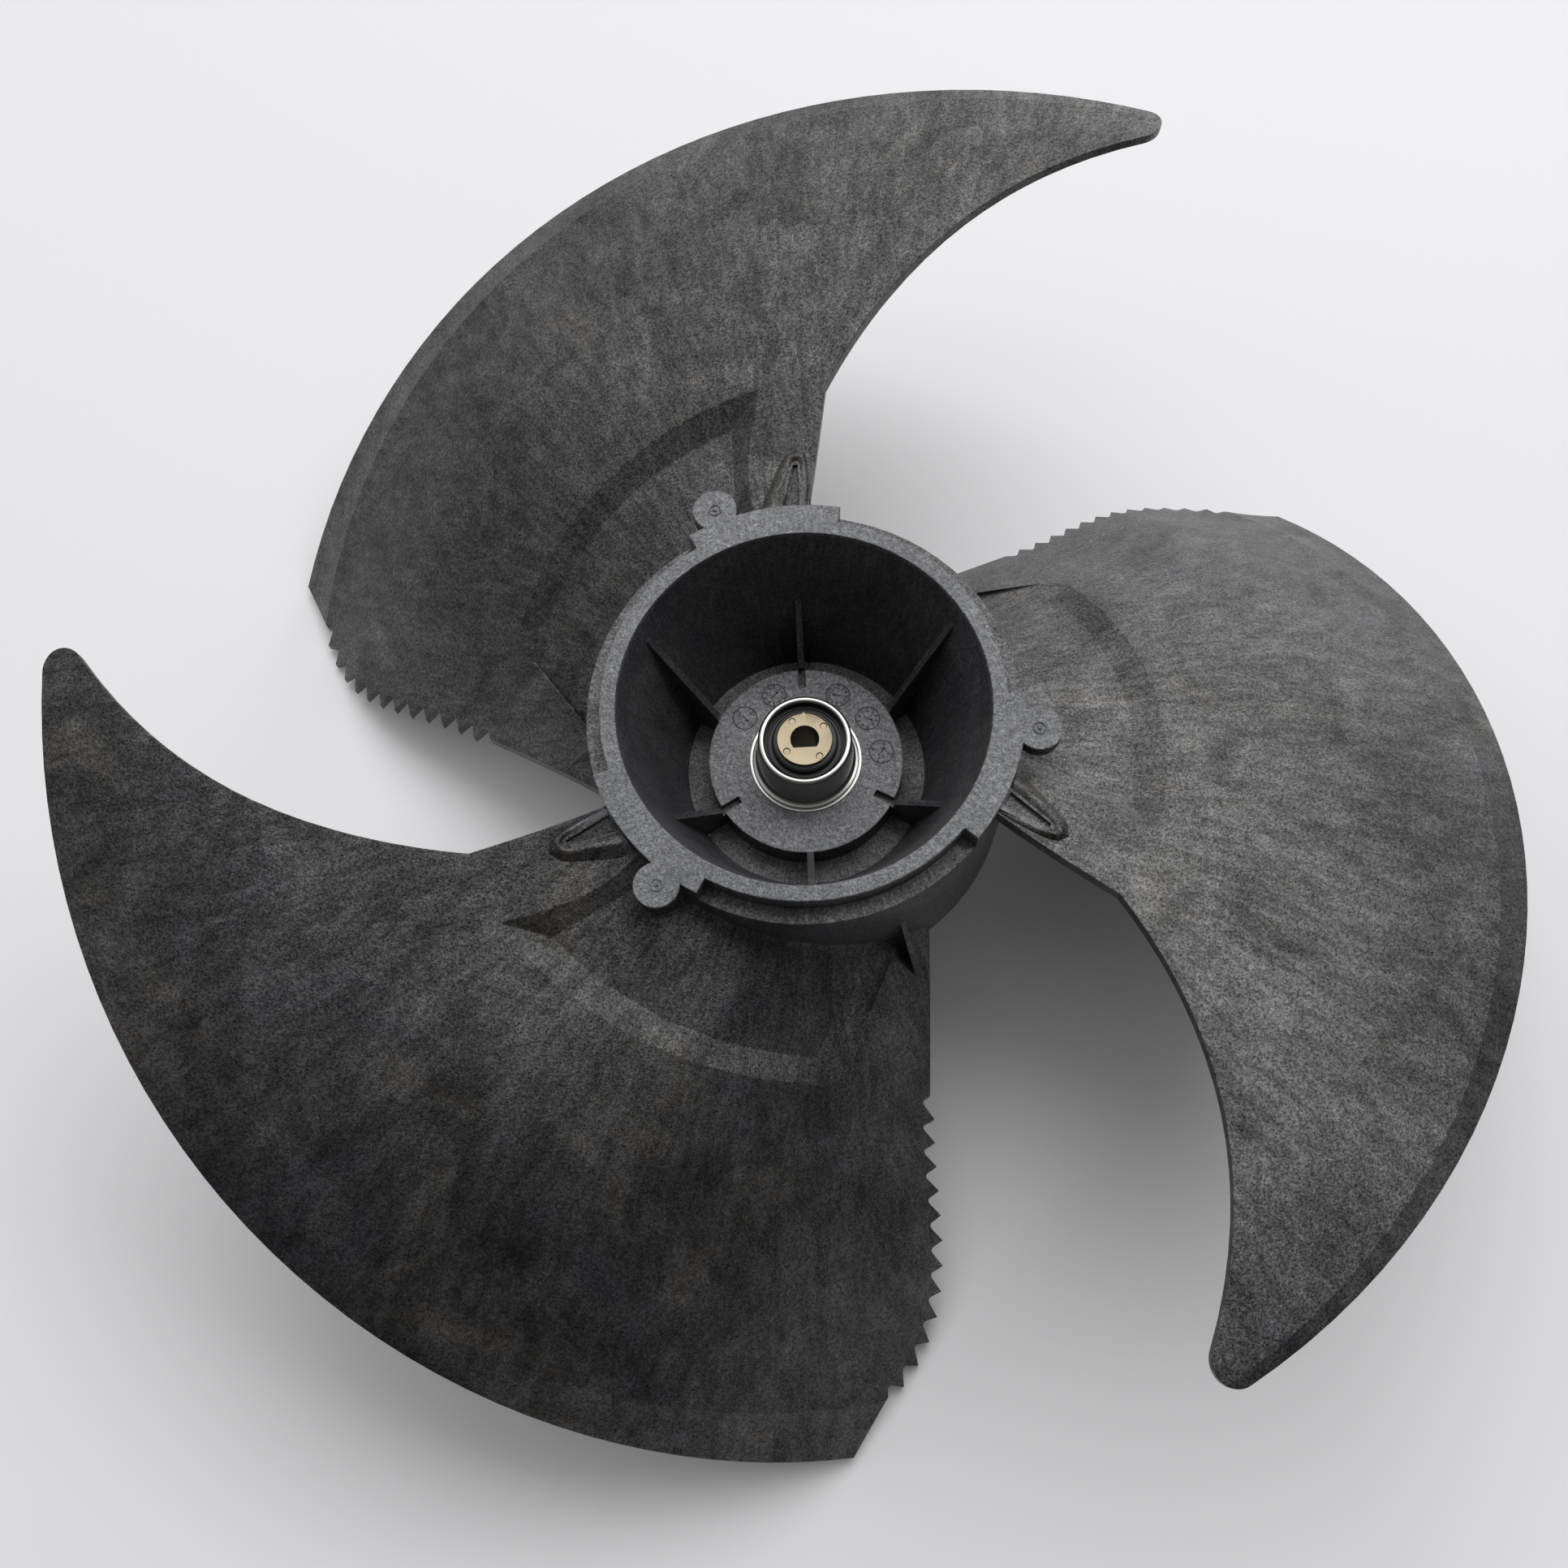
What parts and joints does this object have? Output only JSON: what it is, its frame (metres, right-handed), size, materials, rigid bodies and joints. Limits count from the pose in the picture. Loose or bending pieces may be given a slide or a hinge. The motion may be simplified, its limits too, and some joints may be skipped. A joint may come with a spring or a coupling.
{
  "type": "air conditioner propeller fan",
  "caption": "Propeller fan for an outdoor air conditioner: forward-swept moulded blades with serrated trailing edges around a deep cup hub, with a rubber-cushioned D-bore metal bush.",
  "frame": {"origin": "centre of the D bore at the bush face inside the open hub cup", "axes": "+Z along the shaft axis, out of the open side of the hub towards the motor"},
  "size_m": [0.474, 0.474, 0.1598],
  "materials": {
    "moulding": "dark grey glass-filled plastic, lightly mottled",
    "sleeve": "bright plated",
    "rubber": "black matt",
    "bush": "pale champagne, satin"
  },
  "bodies": {
    "root": {"fan_moulding": "moulding", "steel_sleeve": "sleeve", "rubber_ring": "rubber", "shaft_bush": "bush"}
  },
  "joints": []
}
